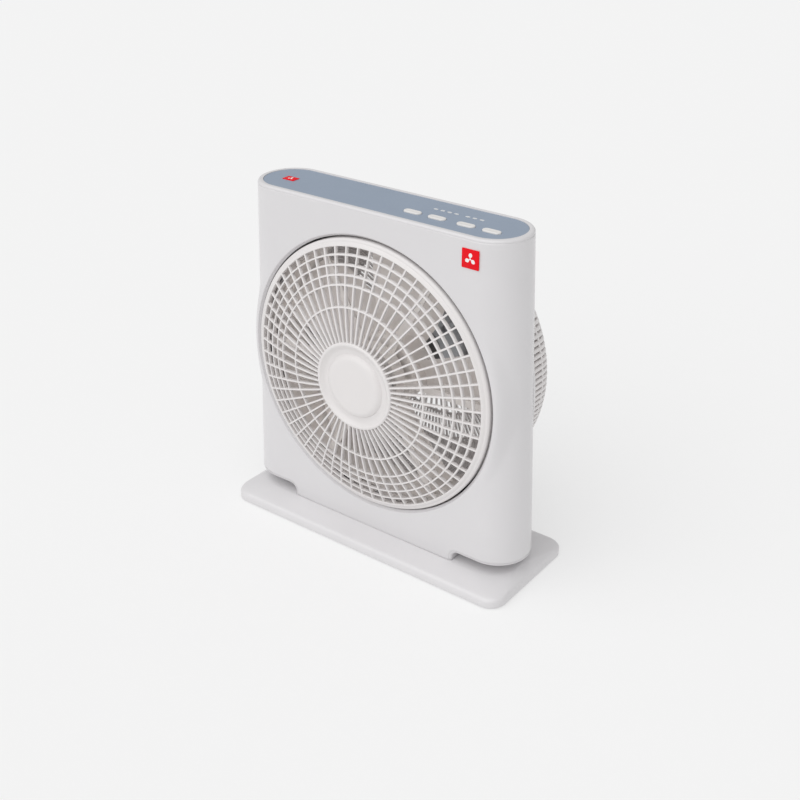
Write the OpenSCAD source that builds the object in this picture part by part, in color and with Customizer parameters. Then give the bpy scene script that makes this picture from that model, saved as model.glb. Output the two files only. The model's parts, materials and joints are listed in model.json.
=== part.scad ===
// Box fan on a flat stand: a slim body with rounded ends, a rotating domed
// louvre grille in front, a deep rear guard that carries the motor, and a
// control panel with four push buttons on top.
// X runs across the fan, Y runs back along the air flow and Z is up.
// The origin is on the surface it stands on, under the middle of the whole fan.

/* [Stand] */
// Width of the base plate
base_w = 386; // [340:1:470]
// Depth of the base plate
base_d = 148; // [120:1:190]
// How far the middle of the base sits behind the middle of the body
base_back = 7; // [0:1:20]
// Corner radius of the base plate in plan
base_corner_r = 20; // [12:1:40]
// Height of the base plate's upright side
base_side_h = 7; // [5:0.5:14]
// Rise of the crowned top, from the side up to the seat of the body
base_crown_h = 11.5; // [6:0.5:18]
// Thickness of the base moulding
base_wall = 2.6; // [1.8:0.1:4]
// How far the rubber feet stand out below the base
foot_out = 1.5; // [1:0.5:5]
// Radius of a rubber foot
foot_r = 8; // [5:0.5:12]
// Distance of a foot's centre from the sides of the base
foot_inset = 16; // [13:1:30]

/* [Body] */
// Width of the body, at the height of the fan axis
body_w = 360; // [346:1:450]
// Lean of the body's two sides towards each other, in degrees
side_lean = 2.7; // [0:0.1:3]
// Thickness of the body, front face to back face
body_t = 78; // [70:1:100]
// Height of the body, from its lower edge to its top rim
body_h = 371; // [350:1:450]
// Open gap between the base and the body's rounded ends
end_gap = 13; // [8:1:30]
// Width of the skirt that joins the body to the base
skirt_w = 216; // [160:1:260]
// Corner radius of the skirt in plan
skirt_r = 4; // [2.5:0.5:10]
// Wall of the two shells
wall = 2.2; // [1.6:0.1:3]
// Radius of the body's upper and lower edges
edge_r = 3; // [2.5:0.5:8]
// Parting plane of the shells, behind the middle of the body
split_back = 22; // [16:1:24]

/* [Control panel] */
// Distance of the blue panel from the body's outline
panel_inset = 6; // [5.5:0.5:12]
// How deep the panel lies below the rim
panel_sink = 0.8; // [0.2:0.1:2]
// Thickness of the panel plate
panel_t = 2.2; // [1.6:0.1:4]
// Length of a push button
button_l = 21; // [14:0.5:26]
// Width of a push button
button_w = 9; // [7:0.5:14]
// How far a button stands above the panel
button_out = 1.6; // [1.2:0.1:4]
// Travel of a button
button_travel = 1; // [0.4:0.1:1.1]
// Distance between buttons that stand next to each other
button_pitch = 30.3; // [27:0.1:36]
// Extra distance between the two middle buttons
button_group_gap = 4.6; // [0:0.2:8]
// Distance of the last button from the side of the body, measured at the fan axis
button_end = 44.8; // [44:0.2:60]
// Distance of the button row in front of the middle of the panel
button_front = 12; // [4:0.5:12]
// Distance of the row of lights behind the middle of the panel
light_back = 9.8; // [6:0.2:16]
// How far the lights sit to the left of their button
light_side = 4; // [0:0.5:6]
// Length of an indicator light
light_l = 5.4; // [3:0.2:7]
// Width of an indicator light
light_w = 3; // [2:0.2:5]
// Distance between indicator lights
light_pitch = 8.5; // [8:0.5:12]

/* [Louvre grille] */
// Outer radius of the rotating grille
grille_r = 158.5; // [140:0.5:170]
// Open seam round the grille
grille_gap = 1.5; // [0.8:0.1:3]
// Inner radius of the grille's plain rim
rim_in_r = 150; // [130:0.5:162]
// How far the rim's inner edge stands in front of the body
rim_out = 4.2; // [2.5:0.1:8]
// How far the middle of the dome would stand in front of the body
dome_out = 27.5; // [20:0.5:40]
// Depth of the ribs
rib_depth = 4; // [2.5:0.5:6]
// Number of radial spokes
spoke_count = 60; // [40:4:72]
// Width of a spoke
spoke_w = 2; // [1.4:0.1:2.6]
// Number of closely spaced rings next to the rim
ring_count = 4; // [2:1:5]
// Distance between these rings
ring_pitch = 10.2; // [8:0.1:12]
// Width of a ring
ring_w = 2; // [1.4:0.1:3]
// Radius of the single ring nearer the hub
mid_ring_r = 88; // [72:1:96]
// Outer radius of the hub
hub_r = 50.5; // [46:0.5:56]
// Width of the raised lip round the hub
hub_lip_w = 4.5; // [3:0.5:8]
// Depth of the dished ring inside the lip
hub_dish = 4; // [2:0.5:6]
// Radius of the hub cap
cap_r = 37; // [30:0.5:40]
// Depth of the grille's outer wall inside the body
skirt_in = 12; // [8:1:15]

/* [Fan] */
// Radius of the fan at the blade tips
fan_r = 146; // [120:1:149]
// Gap between the blade tips and the duct
tip_gap = 4; // [2:0.5:8]
// Number of blades
blade_count = 5; // [3:1:7]
// Width of a blade
blade_w = 84; // [60:1:92]
// Pitch angle of the blades
blade_pitch = 26; // [15:1:30]
// Thickness of a blade
blade_t = 2.4; // [1.8:0.1:4]
// Radius of the fan's hub
fan_hub_r = 42; // [30:1:48]

/* [Motors] */
// Radius of the main motor
motor_r = 44; // [38:1:50]
// Length of the main motor
motor_l = 50; // [44:1:52]
// Radius of the main shaft
shaft_r = 4; // [3:0.5:5]
// Radius of the louvre motor
louvre_motor_r = 25; // [18:0.5:27]
// Length of the louvre motor
louvre_motor_l = 16; // [12:0.5:17]
// Radius of the louvre shaft
louvre_shaft_r = 3; // [2:0.5:4]
// Radial clearance of a shaft in its bearing
shaft_clear = 0.05; // [0.02:0.01:0.1]

/* [Rear guard] */
// How far the guard stands out behind the body
guard_out = 55; // [50:1:80]
// Radius of the guard's rounded edge
guard_round = 30; // [15:1:36]
// Thickness of the guard's ribs, front to back
guard_t = 3; // [2.5:0.5:4]
// Number of guard ribs
guard_ribs = 72; // [48:4:84]
// Width of a guard rib
guard_rib_w = 2; // [1.6:0.1:2.6]
// Radius of the guard's centre plate
guard_plate_r = 54; // [52:1:60]

/* [Hidden] */

$fn = 96;
tiny = 0.01;
slack = 0.15;
white = [0.93, 0.93, 0.94];
warm_white = [0.86, 0.84, 0.83];
blue_grey = [0.53, 0.60, 0.70];
badge_red = [0.86, 0.08, 0.12];
steel = [0.68, 0.69, 0.71];
copper = [0.72, 0.42, 0.24];
rubber = [0.16, 0.16, 0.17];
board_green = [0.10, 0.35, 0.22];

// Heights of the stand and the body
seat_z = foot_out + base_side_h + base_crown_h;
body_z = seat_z + end_gap;
top_z = body_z + body_h;
body_half = body_t / 2;
end_x = body_w / 2 - body_half;

// The fan axis, centred between the lower edge and the control panel
axis_rise = 180;
axis_z = body_z + axis_rise;

// The sides lean, so the rounded ends stand closer together higher up
lean = tan(side_lean);
function end_at(z) = end_x - lean * (z - axis_z);

// Collars that hold the grille and the guard
collar_in = grille_r + grille_gap;
collar_wall = 2.4;
collar_out = collar_in + collar_wall;
ledge_t = 2.5;
duct_in = fan_r + tip_gap;
duct_wall = 2.2;
duct_flange_t = 2.2;
front_ledge_y = -body_half + skirt_in + 7;
rear_ledge_y = body_half - 6;

// Screws: radius of the shank, of the head and of a boss
screw_r = 1.6;
head_r = 3.1;
small_head_r = 2.5;
head_h = 2.2;
boss_r = 4.6;
hole_clear = 0.25;

// Domed surface of the grille, as a sphere with its centre on the axis
dome_rise = dome_out - rim_out;
dome_r = (rim_in_r * rim_in_r + dome_rise * dome_rise) / (2 * dome_rise);
dome_cy = -body_half - dome_out + dome_r;
function dome_y(r) = dome_cy - sqrt(dome_r * dome_r - r * r);
rings = [for (i = [0:ring_count - 1]) rim_in_r + ring_w / 2 - 1 - 0.9 * ring_pitch - i * ring_pitch];

// Hub of the grille, front to back
hub_y = dome_y(hub_r) - 1.2;
hub_floor_y = hub_y + hub_dish;
hub_floor_t = 2.5;
cap_out = 1.2;
hub_boss_r = 9;
hub_boss_l = 5;
hub_boss_end = hub_floor_y + hub_floor_t + hub_boss_l;

// Louvre motor and its support
louvre_motor_y = hub_boss_end + 1.2;
support_plate_y = louvre_motor_y + louvre_motor_l;
support_plate_t = 2.5;
support_t = 3;
support_y = front_ledge_y - support_t;
support_arms = 6;
support_cup_r = louvre_motor_r + 12;
lug_x = louvre_motor_r + 4.5;
lug_r = 4;
lug_t = 1.6;

// Main motor, bolted to the guard's centre plate
guard_back_y = body_half + guard_out;
guard_r = collar_in - 0.3;
motor_back_y = guard_back_y - guard_t;
motor_front_y = motor_back_y - motor_l;
housing_wall = 2;
stator_r = motor_r - housing_wall;
stator_l = 20;
stator_mid_y = (motor_back_y + motor_front_y) / 2;
rotor_r = 21;
air_gap = 0.5;
bearing_r = 8;
bearing_l = 7;
shaft_back_y = motor_back_y - 3;
shaft_front_y = -body_half + 20;

// Distance of the origin behind the middle of the body, halfway from the front of the
// base to the heads of the motor screws
frame_back = (base_back - base_d / 2 + guard_back_y + head_h) / 2;

// Fan hub: the cup is closed at the front and the motor's nose stands in it
fan_front_y = -body_half + 27;
fan_hub_l = 34;
fan_hub_wall = 2.2;
blade_mid_y = fan_front_y + fan_hub_l / 2 + 2;
pin_y = fan_front_y + 12;
pin_r = 1.5;
pin_l = 18;
boss_l = 16;
fan_boss_r = 10;

// Control stack, from the panel down
panel_top_z = top_z - panel_sink;
roof_t = 3;
panel_under_z = panel_top_z - panel_t;
panel_flange_t = 2;
button_gap = 0.3;
flange_over = 1.3;
flange_t = 1.2;
flange_top_z = panel_under_z - button_gap;
plunger_r = 1.7;
stem_r = 2;
stem_l = 2.2;
stem_z = flange_top_z - flange_t - stem_l;
plunger_l = 2.4;
switch_side = 6;
switch_h = 3.5;
switch_top_z = stem_z - button_travel - 0.1;
board_top_z = switch_top_z - switch_h;
board_t = 1.6;
post_h = 4;
tray_top_z = board_top_z - board_t - post_h;
tray_t = 2;
tray_half = 30;
power_x = body_w / 2 - button_end;
speed_x = power_x - button_pitch;
timer_x = speed_x - button_pitch - button_group_gap;
louvre_x = timer_x - button_pitch;
board_right = power_x + 5;
board_left = louvre_x - 18;
board_half = 24;
tray_right = board_right + 8;
tray_left = board_left - 110;
tray_rim = 1.4;
tray_post_r = 2.8;
tray_post_y = 25.5;
tray_posts = [
  [tray_right - 4.4, -tray_post_y], [tray_right - 4.4, tray_post_y],
  [tray_left + 6, -tray_post_y], [tray_left + 6, tray_post_y]
];
board_posts = [
  [board_left + 4, -board_half + 4], [board_left + 4, board_half - 4],
  [board_right - 4, board_half - 4], [board_right - 16, -board_half + 4]
];

// Screws that join the shells, and those that join the base to the skirt
top_boss_z = top_z - 34;
low_boss_z = body_z + 16;
shell_bosses = [for (side = [-1, 1]) each [
  [side * (end_at(top_boss_z) + 20), top_boss_z], [side * (end_at(low_boss_z) + 10), low_boss_z]
]];
shell_screw_l = 18;
base_boss_x = skirt_w / 2 - 26;
base_boss_y = body_half - wall - boss_r + 0.3;
base_boss_h = 26;

// Cord gland, low on the back of the skirt
gland_x = -skirt_w / 2 + 50;
gland_z = body_z + 9;
gland_r = 6;
gland_flange_r = 9;
gland_flange_t = 2.5;
gland_bore_r = 3.6;
gland_in = 7;

// ---- shared shapes ----

// Half of an upright section: r0 is the half thickness
module half_section(r0, z0, z1, rb, rt) {
  translate([0, z0 + rb]) square([r0, z1 - z0 - rb - rt]);
  translate([0, z0]) square([r0 - rb, z1 - z0 - rt]);
  translate([0, z0 + rb]) square([r0 - rt, z1 - z0 - rb]);
  translate([r0 - rb, z0 + rb]) circle(r = rb);
  translate([r0 - rt, z1 - rt]) circle(r = rt);
}

// Leans a shape towards the middle of the body, about the height of the fan axis
module leaning(side) multmatrix([
  [1, 0, -side * lean, side * lean * axis_z],
  [0, 1, 0, 0], [0, 0, 1, 0], [0, 0, 0, 1]
]) children();

// A block with a flat front and back and fully rounded, leaning ends
module pill(inset, z0, z1, rb, rt) {
  r0 = body_half - inset;
  z_far = 2 * top_z;
  for (side = [-1, 1]) leaning(side) translate([side * end_x, 0, 0])
    rotate_extrude() half_section(r0, z0, z1, rb, rt);
  intersection() {
    rotate([90, 0, 90]) translate([0, 0, -body_w]) linear_extrude(2 * body_w) {
      half_section(r0, z0, z1, rb, rt);
      mirror([1, 0]) half_section(r0, z0, z1, rb, rt);
    }
    rotate([90, 0, 0]) translate([0, 0, -body_t]) linear_extrude(2 * body_t)
      polygon([[-end_at(0), 0], [end_at(0), 0], [end_at(z_far), z_far], [-end_at(z_far), z_far]]);
  }
}

// Moves the fan from the middle plane of its body to the part's own origin
module placed() translate([0, -frame_back, 0]) children();

module stadium(l, w) {
  square([l - w, w], center = true);
  for (side = [-1, 1]) translate([side * (l - w) / 2, 0]) circle(d = w);
}

// The body's outline in plan, at a height
module body_outline(inset, z) stadium(2 * (end_at(z) + body_half - inset), body_t - 2 * inset);

module round_rect(w, d, r) {
  square([w - 2 * r, d], center = true);
  square([w, d - 2 * r], center = true);
  for (sx = [-1, 1], sy = [-1, 1])
    translate([sx * (w / 2 - r), sy * (d / 2 - r)]) circle(r = r);
}

// Turns a shape drawn round Z so that it lies round the fan axis, facing back
module on_axis(y) translate([0, y, axis_z]) rotate([-90, 0, 0]) children();

// A tube round the fan axis, from y0 to y1
module axis_tube(y0, y1, r_in, r_out) on_axis(y0) difference() {
  cylinder(r = r_out, h = y1 - y0);
  if (r_in > 0) translate([0, 0, -1]) cylinder(r = r_in, h = y1 - y0 + 2);
}

// A screw whose head lies on the plane z = 0 and whose shank points down
module screw(l, r = head_r) {
  cylinder(r = r, h = head_h);
  translate([0, 0, -l]) cylinder(r = screw_r, h = l + tiny);
}

// ---- stand ----

module base_form(inset) hull($fn = 64) {
  z0 = foot_out;
  translate([0, base_back, z0 - inset]) linear_extrude(base_side_h)
    round_rect(base_w - 2 * inset, base_d - 2 * inset, base_corner_r - inset, $fn = 64);
  translate([0, base_back, z0 + base_side_h + 3 - inset]) linear_extrude(0.5)
    round_rect(base_w - 7 - 2 * inset, base_d - 12 - 2 * inset, base_corner_r - 2 - inset, $fn = 64);
  translate([0, 0, seat_z - 1 - inset]) linear_extrude(1) body_outline(inset, axis_z, $fn = 64);
}

base_boss_places = [for (sx = [-1, 1], sy = [-1, 1]) [sx * base_boss_x, sy * base_boss_y]];
foot_places = [for (sx = [-1, 1], sy = [-1, 1])
  [sx * (base_w / 2 - foot_inset), base_back + sy * (base_d / 2 - foot_inset)]];
foot_seat_z = foot_out + 3;
sole_r = 7;

module base_plate() color(white) placed() difference() {
  union() {
    difference() {
      base_form(0);
      translate([0, 0, -tiny]) base_form(base_wall);
    }
    intersection() {
      base_form(0.5);
      union() {
        for (p = foot_places) translate([p[0], p[1], foot_seat_z]) cylinder(r = foot_r, h = seat_z);
        for (p = base_boss_places) translate([p[0], p[1], seat_z - 7]) cylinder(r = sole_r, h = 7);
        for (sx = [-1, 1]) translate([sx * base_w / 6, base_back, seat_z / 2 + foot_out])
          cube([2, base_d, seat_z], center = true);
      }
    }
  }
  for (p = base_boss_places) translate([p[0], p[1], 0]) {
    cylinder(r = screw_r + hole_clear, h = seat_z + 1);
    cylinder(r = head_r + 0.6, h = seat_z - 3.5);
  }
}

module rubber_feet() color(rubber) placed() for (p = foot_places) translate([p[0], p[1], 0]) {
  translate([0, 0, 0.6]) cylinder(r = foot_r - 1, h = foot_seat_z - 0.6);
  cylinder(r1 = foot_r - 1.8, r2 = foot_r - 1, h = 0.6 + tiny);
}

module base_screws() color(steel) placed() for (p = base_boss_places)
  translate([p[0], p[1], seat_z - 3.5]) mirror([0, 0, 1]) screw(14);

// ---- shells ----

module body_form(inset) {
  roof = inset > 0 ? roof_t : 0;
  upper_r = inset > 0 ? 1 : edge_r;
  pill(inset, body_z + inset, top_z - roof, edge_r - min(inset, edge_r - 1), upper_r);
  translate([0, 0, seat_z - (inset > 0 ? 1 : 0)]) linear_extrude(end_gap + edge_r + 4)
    round_rect(skirt_w - 2 * inset, body_t - 2 * inset, skirt_r - min(inset, skirt_r - 1));
}

module shell_walls() difference() {
  body_form(0);
  body_form(wall);
  translate([0, 0, top_z - roof_t - 1]) linear_extrude(roof_t + 2) body_outline(panel_inset, top_z);
}

// Keeps what lies in front of, or behind, the parting plane
module front_half() intersection() {
  children();
  translate([-body_w, -body_t, 0]) cube([2 * body_w, body_t + split_back, 2 * top_z]);
}
module rear_half() intersection() {
  children();
  translate([-body_w, split_back, 0]) cube([2 * body_w, body_t, 2 * top_z]);
}

module shell_boss(p, y0, y1, r = boss_r)
  translate([p[0], y0, p[1]]) rotate([-90, 0, 0]) cylinder(r = r, h = y1 - y0);

module base_bosses(sy) for (sx = [-1, 1])
  translate([sx * base_boss_x, sy * base_boss_y, seat_z]) cylinder(r = boss_r, h = base_boss_h);

module base_pilots(sy) for (sx = [-1, 1])
  translate([sx * base_boss_x, sy * base_boss_y, seat_z - 1]) cylinder(r = screw_r, h = base_boss_h - 4);

// Half thickness of the body at a distance x from its middle, at a height
function body_y(x, z) = x > end_at(z) ? sqrt(pow(body_half, 2) - pow(x - end_at(z), 2)) : body_half;

// How far from the middle of the body a shell boss reaches before it would break the surface
function boss_reach(p) = body_y(abs(p[0]) + boss_r, p[1] + boss_r) - 0.5;

module front_shell() color(white) placed() difference() {
  union() {
    difference() {
      front_half() shell_walls();
      axis_tube(-body_half - 5, -5, 0, collar_in + 0.5);
    }
    axis_tube(-body_half, front_ledge_y + ledge_t, collar_in, collar_out);
    axis_tube(front_ledge_y, front_ledge_y + ledge_t, duct_in, collar_out);
    for (p = shell_bosses) shell_boss(p, -boss_reach(p), split_back);
    base_bosses(-1);
  }
  for (p = shell_bosses) shell_boss(p, split_back - shell_screw_l, split_back + 1, screw_r);
  base_pilots(-1);
  on_axis(0) for (a = support_screw_angles) rotate(a)
    translate([support_screw_r, 0, front_ledge_y - 1]) cylinder(r = screw_r, h = ledge_t + 2);
}

support_screw_r = (duct_in + collar_in) / 2;
support_screw_angles = [for (i = [0:support_arms - 1]) 30 + i * 360 / support_arms];
guard_screw_r = (duct_in + guard_r) / 2;
guard_screw_angles = [for (i = [0:5]) 2.5 + i * 60];
duct_screw_angles = [for (i = [0:3]) 22.5 + i * 90];
duct_flange_r = guard_r - 1.5;

module rear_shell() color(white) placed() difference() {
  union() {
    difference() {
      rear_half() shell_walls();
      axis_tube(5, body_half + 5, 0, collar_in + 0.5);
    }
    axis_tube(rear_ledge_y - ledge_t, body_half, collar_in, collar_out);
    axis_tube(rear_ledge_y - ledge_t, rear_ledge_y, duct_in, collar_out);
    for (p = shell_bosses) shell_boss(p, split_back, boss_reach(p));
    base_bosses(1);
  }
  for (p = shell_bosses) {
    shell_boss(p, split_back - 1, body_t, screw_r + hole_clear);
    shell_boss(p, split_back + 3, body_t, head_r + 0.3);
  }
  base_pilots(1);
  translate([gland_x, body_half - wall - 1, gland_z]) rotate([-90, 0, 0])
    cylinder(r = gland_r + slack, h = wall + 2);
  lead_notch();
  on_axis(0) {
    for (a = guard_screw_angles) rotate(a)
      translate([guard_screw_r, 0, rear_ledge_y - ledge_t - 1]) cylinder(r = screw_r, h = ledge_t + 2);
    for (a = duct_screw_angles) rotate(a)
      translate([guard_screw_r, 0, rear_ledge_y - ledge_t - 1]) cylinder(r = screw_r, h = ledge_t + 2);
  }
}

module shell_screws() color(steel) placed() for (p = shell_bosses)
  translate([p[0], split_back + 3, p[1]]) rotate([-90, 0, 0]) screw(shell_screw_l);

module cord_gland() color(rubber) placed() translate([gland_x, body_half, gland_z]) rotate([-90, 0, 0])
  difference() {
    union() {
      cylinder(r = gland_flange_r, h = gland_flange_t);
      translate([0, 0, -gland_in]) cylinder(r = gland_r, h = gland_in + tiny);
      translate([0, 0, -gland_in]) cylinder(r = gland_flange_r - 1.2, h = gland_in - wall);
    }
    translate([0, 0, -gland_in - 1]) cylinder(r = gland_bore_r, h = gland_in + gland_flange_t + 2);
  }

// ---- control panel ----

module at_button(x) translate([x, -button_front, 0]) children();
module at_lights(x, count) for (i = [0:count - 1])
  translate([x - light_side + (i - (count - 1) / 2) * light_pitch, light_back, 0]) children();

module panel_holes() {
  for (x = [louvre_x, timer_x, speed_x, power_x])
    at_button(x) stadium(button_l + 2 * button_gap, button_w + 2 * button_gap);
  at_lights(timer_x, 4) stadium(light_l + 2 * slack, light_w + 2 * slack);
  at_lights(speed_x, 3) stadium(light_l + 2 * slack, light_w + 2 * slack);
}

module top_panel() color(blue_grey) placed() difference() {
  union() {
    translate([0, 0, panel_under_z]) linear_extrude(panel_t) body_outline(panel_inset + slack, top_z);
    translate([0, 0, top_z - roof_t - panel_flange_t]) linear_extrude(panel_flange_t) difference() {
      body_outline(wall + 1.6, top_z);
      body_outline(panel_inset + 3, top_z);
    }
    translate([0, 0, top_z - roof_t - panel_flange_t]) linear_extrude(panel_flange_t + 1) difference() {
      body_outline(panel_inset + slack, top_z);
      body_outline(panel_inset + 3, top_z);
    }
    for (p = tray_posts) translate([p[0], p[1], tray_top_z])
      cylinder(r = tray_post_r, h = panel_under_z - tray_top_z + 0.5);
  }
  translate([0, 0, panel_under_z - 1]) linear_extrude(panel_t + 2) panel_holes();
  for (p = tray_posts) translate([p[0], p[1], tray_top_z - 1]) cylinder(r = screw_r, h = 9);
}

module button(x) color(white) placed() at_button(x) {
  translate([0, 0, flange_top_z - flange_t - tiny])
    linear_extrude(panel_top_z + button_out - flange_top_z + flange_t - 0.8) stadium(button_l, button_w);
  translate([0, 0, panel_top_z + button_out - 0.8 - 2 * tiny])
    linear_extrude(0.8) stadium(button_l - 1, button_w - 1);
  translate([0, 0, flange_top_z - flange_t])
    linear_extrude(flange_t) stadium(button_l + 2 * flange_over, button_w + 2 * flange_over);
  translate([0, 0, stem_z]) cylinder(r = stem_r, h = stem_l + tiny);
}
module louvre_button() button(louvre_x);
module timer_button() button(timer_x);
module speed_button() button(speed_x);
module power_button() button(power_x);

module plunger(x) color(rubber) placed() at_button(x)
  translate([0, 0, stem_z - plunger_l]) cylinder(r = plunger_r, h = plunger_l);
module louvre_plunger() plunger(louvre_x);
module timer_plunger() plunger(timer_x);
module speed_plunger() plunger(speed_x);
module power_plunger() plunger(power_x);

module switch_bodies() color(steel) placed() for (x = [louvre_x, timer_x, speed_x, power_x])
  at_button(x) translate([0, 0, board_top_z]) difference() {
    translate([0, 0, switch_h / 2]) cube([switch_side, switch_side, switch_h], center = true);
    translate([0, 0, switch_h - plunger_l - 0.3]) cylinder(r = plunger_r + button_gap, h = plunger_l + 1);
  }

emitter_h = 1.8;
module light_pipes(x, count) color([0.95, 0.97, 1, 0.9]) placed() at_lights(x, count)
  translate([0, 0, board_top_z + emitter_h])
    linear_extrude(panel_top_z + 0.3 - board_top_z - emitter_h) stadium(light_l, light_w);
module timer_lights() light_pipes(timer_x, 4);
module speed_lights() light_pipes(speed_x, 3);

module light_emitters() color([0.9, 0.85, 0.5]) placed() translate([0, 0, board_top_z]) {
  at_lights(timer_x, 4) translate([0, 0, emitter_h / 2]) cube([3.2, 1.6, emitter_h], center = true);
  at_lights(speed_x, 3) translate([0, 0, emitter_h / 2]) cube([3.2, 1.6, emitter_h], center = true);
}

module control_board() color(board_green) placed() difference() {
  translate([board_left, -board_half, board_top_z - board_t])
    cube([board_right - board_left, 2 * board_half, board_t]);
  for (p = board_posts) translate([p[0], p[1], board_top_z - board_t - 1])
    cylinder(r = screw_r + hole_clear, h = board_t + 2);
}

chip = [14, 9, 1.8];
chip_front = 4;
module control_chip() color(rubber) placed()
  translate([(timer_x + louvre_x - chip[0]) / 2, -board_half + chip_front, board_top_z]) cube(chip);

triac = [4, 5, 5];
triac_pitch = 8;
module power_triacs() color(rubber) placed() for (i = [0:3])
  translate([board_left + 8, -board_half + 9 + i * triac_pitch, board_top_z]) cube(triac);

capacitor = [38, 18, 11];
module run_capacitor() color([0.85, 0.85, 0.8]) placed()
  translate([board_left - 60, -capacitor[1] / 2, tray_top_z]) cube(capacitor);

module board_tray() color(warm_white) placed() difference() {
  union() {
    translate([tray_left, -tray_half, tray_top_z - tray_t])
      cube([tray_right - tray_left, 2 * tray_half, tray_t]);
    translate([tray_left, -tray_half, tray_top_z - tray_t])
      difference() {
        cube([tray_right - tray_left, 2 * tray_half, tray_t + 3]);
        translate([tray_rim, tray_rim, -1])
          cube([tray_right - tray_left - 2 * tray_rim, 2 * (tray_half - tray_rim), tray_t + 5]);
      }
    for (p = board_posts) translate([p[0], p[1], tray_top_z - tiny]) cylinder(r = 3.2, h = post_h + tiny);
  }
  for (p = board_posts) translate([p[0], p[1], tray_top_z - 1]) cylinder(r = screw_r, h = post_h + 2);
  for (p = tray_posts) translate([p[0], p[1], tray_top_z - tray_t - 1])
    cylinder(r = screw_r + hole_clear, h = tray_t + 2);
}

module tray_screws() color(steel) placed() for (p = tray_posts)
  translate([p[0], p[1], tray_top_z - tray_t]) mirror([0, 0, 1]) screw(tray_t + 7);

module board_screws() color(steel) placed() for (p = board_posts)
  translate([p[0], p[1], board_top_z]) screw(board_t + post_h - 0.5);

emblem_side = 20;
emblem_t = 0.8;
emblem_end = 40.5;
module front_emblem() color(badge_red) placed()
  translate([body_w / 2 - emblem_end - emblem_side, -body_half - emblem_t, top_z - 32])
    cube([emblem_side, emblem_t, emblem_side]);

top_emblem_size = [16, 11, 0.6];
module top_emblem() color(badge_red) placed()
  translate([-body_w / 2 + 47 - top_emblem_size[0] / 2, -3 - top_emblem_size[1] / 2, panel_top_z])
    cube(top_emblem_size);

// ---- louvre grille ----

// Section of a domed sheet whose front lies on the dome, as (radius, depth)
module dome_section(depth) translate([0, dome_cy]) intersection() {
  difference() {
    circle(r = dome_r, $fn = 400);
    circle(r = dome_r - depth, $fn = 400);
  }
  translate([0, -2 * dome_r]) square([rim_in_r + 2, 2 * dome_r]);
}

// Turns a (radius, depth) section round the fan axis
module turned() translate([0, 0, axis_z]) rotate([-90, 0, 0]) rotate_extrude($fn = 180) children();

module grille_pattern() {
  for (r = concat(rings, [mid_ring_r])) difference() {
    circle(r = r + ring_w / 2);
    circle(r = r - ring_w / 2);
  }
  for (i = [0:spoke_count - 1]) rotate((i + 0.5) * 360 / spoke_count)
    translate([hub_r - 1, -spoke_w / 2]) square([rim_in_r - hub_r + 2, spoke_w]);
}

rim_wall = 2.4;
rim_round = 3.5;
rim_front_y = -body_half - 1.6;
module rim_section() {
  translate([rim_in_r, dome_y(rim_in_r)]) square([ring_w, rib_depth + 1.5]);
  polygon([
    [rim_in_r, dome_y(rim_in_r)], [grille_r - rim_round, rim_front_y],
    [grille_r - rim_round, rim_front_y + rim_wall + 1], [rim_in_r, dome_y(rim_in_r) + rim_wall + 0.8]
  ]);
  translate([grille_r - rim_round, rim_front_y + rim_round]) intersection() {
    circle(r = rim_round);
    translate([-tiny, -rim_round]) square([rim_round + tiny, rim_round]);
  }
  translate([grille_r - rim_wall, rim_front_y + rim_round])
    square([rim_wall, -body_half + skirt_in - rim_front_y - rim_round]);
}

module hub_section() {
  translate([hub_r - hub_lip_w, hub_y]) square([hub_lip_w, hub_dish + hub_floor_t]);
  translate([0, hub_floor_y]) square([hub_r - tiny, hub_floor_t]);
  translate([0, hub_floor_y]) square([hub_boss_r, hub_floor_t + hub_boss_l]);
}

module louvre_grille() color(white) placed() difference() {
  union() {
    intersection() {
      turned() dome_section(rib_depth);
      on_axis(-body_half - 60) linear_extrude(80) grille_pattern();
    }
    turned() rim_section();
    turned() hub_section();
  }
  axis_tube(hub_floor_y - 1, hub_boss_end + 1, 0, louvre_shaft_r);
}

module hub_cap() color(white) placed() turned() {
  translate([0, hub_y - cap_out]) square([cap_r - 1.5, hub_floor_y - hub_y + cap_out]);
  translate([0, hub_y - cap_out + 1.5]) square([cap_r, hub_floor_y - hub_y + cap_out - 1.5]);
  translate([cap_r - 1.5, hub_y - cap_out + 1.5]) circle(r = 1.5);
}

module louvre_shaft() color(steel) placed()
  axis_tube(hub_floor_y, support_plate_y - 4, 0, louvre_shaft_r);

module louvre_motor() color(steel) placed() difference() {
  union() {
    axis_tube(louvre_motor_y, support_plate_y, 0, louvre_motor_r);
    translate([0, support_plate_y, axis_z]) rotate([90, 0, 0]) linear_extrude(lug_t)
      stadium(2 * (lug_x + lug_r), 2 * lug_r);
  }
  axis_tube(louvre_motor_y - 1, support_plate_y - 3, 0, louvre_shaft_r + shaft_clear);
  for (sx = [-1, 1]) translate([sx * lug_x, support_plate_y + 1, axis_z]) rotate([90, 0, 0])
    cylinder(r = screw_r + hole_clear, h = 4);
}

module louvre_motor_screws() color(steel) placed() for (sx = [-1, 1])
  translate([sx * lug_x, support_plate_y - lug_t, axis_z]) rotate([90, 0, 0])
    screw(lug_t + support_plate_t, small_head_r);

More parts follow.
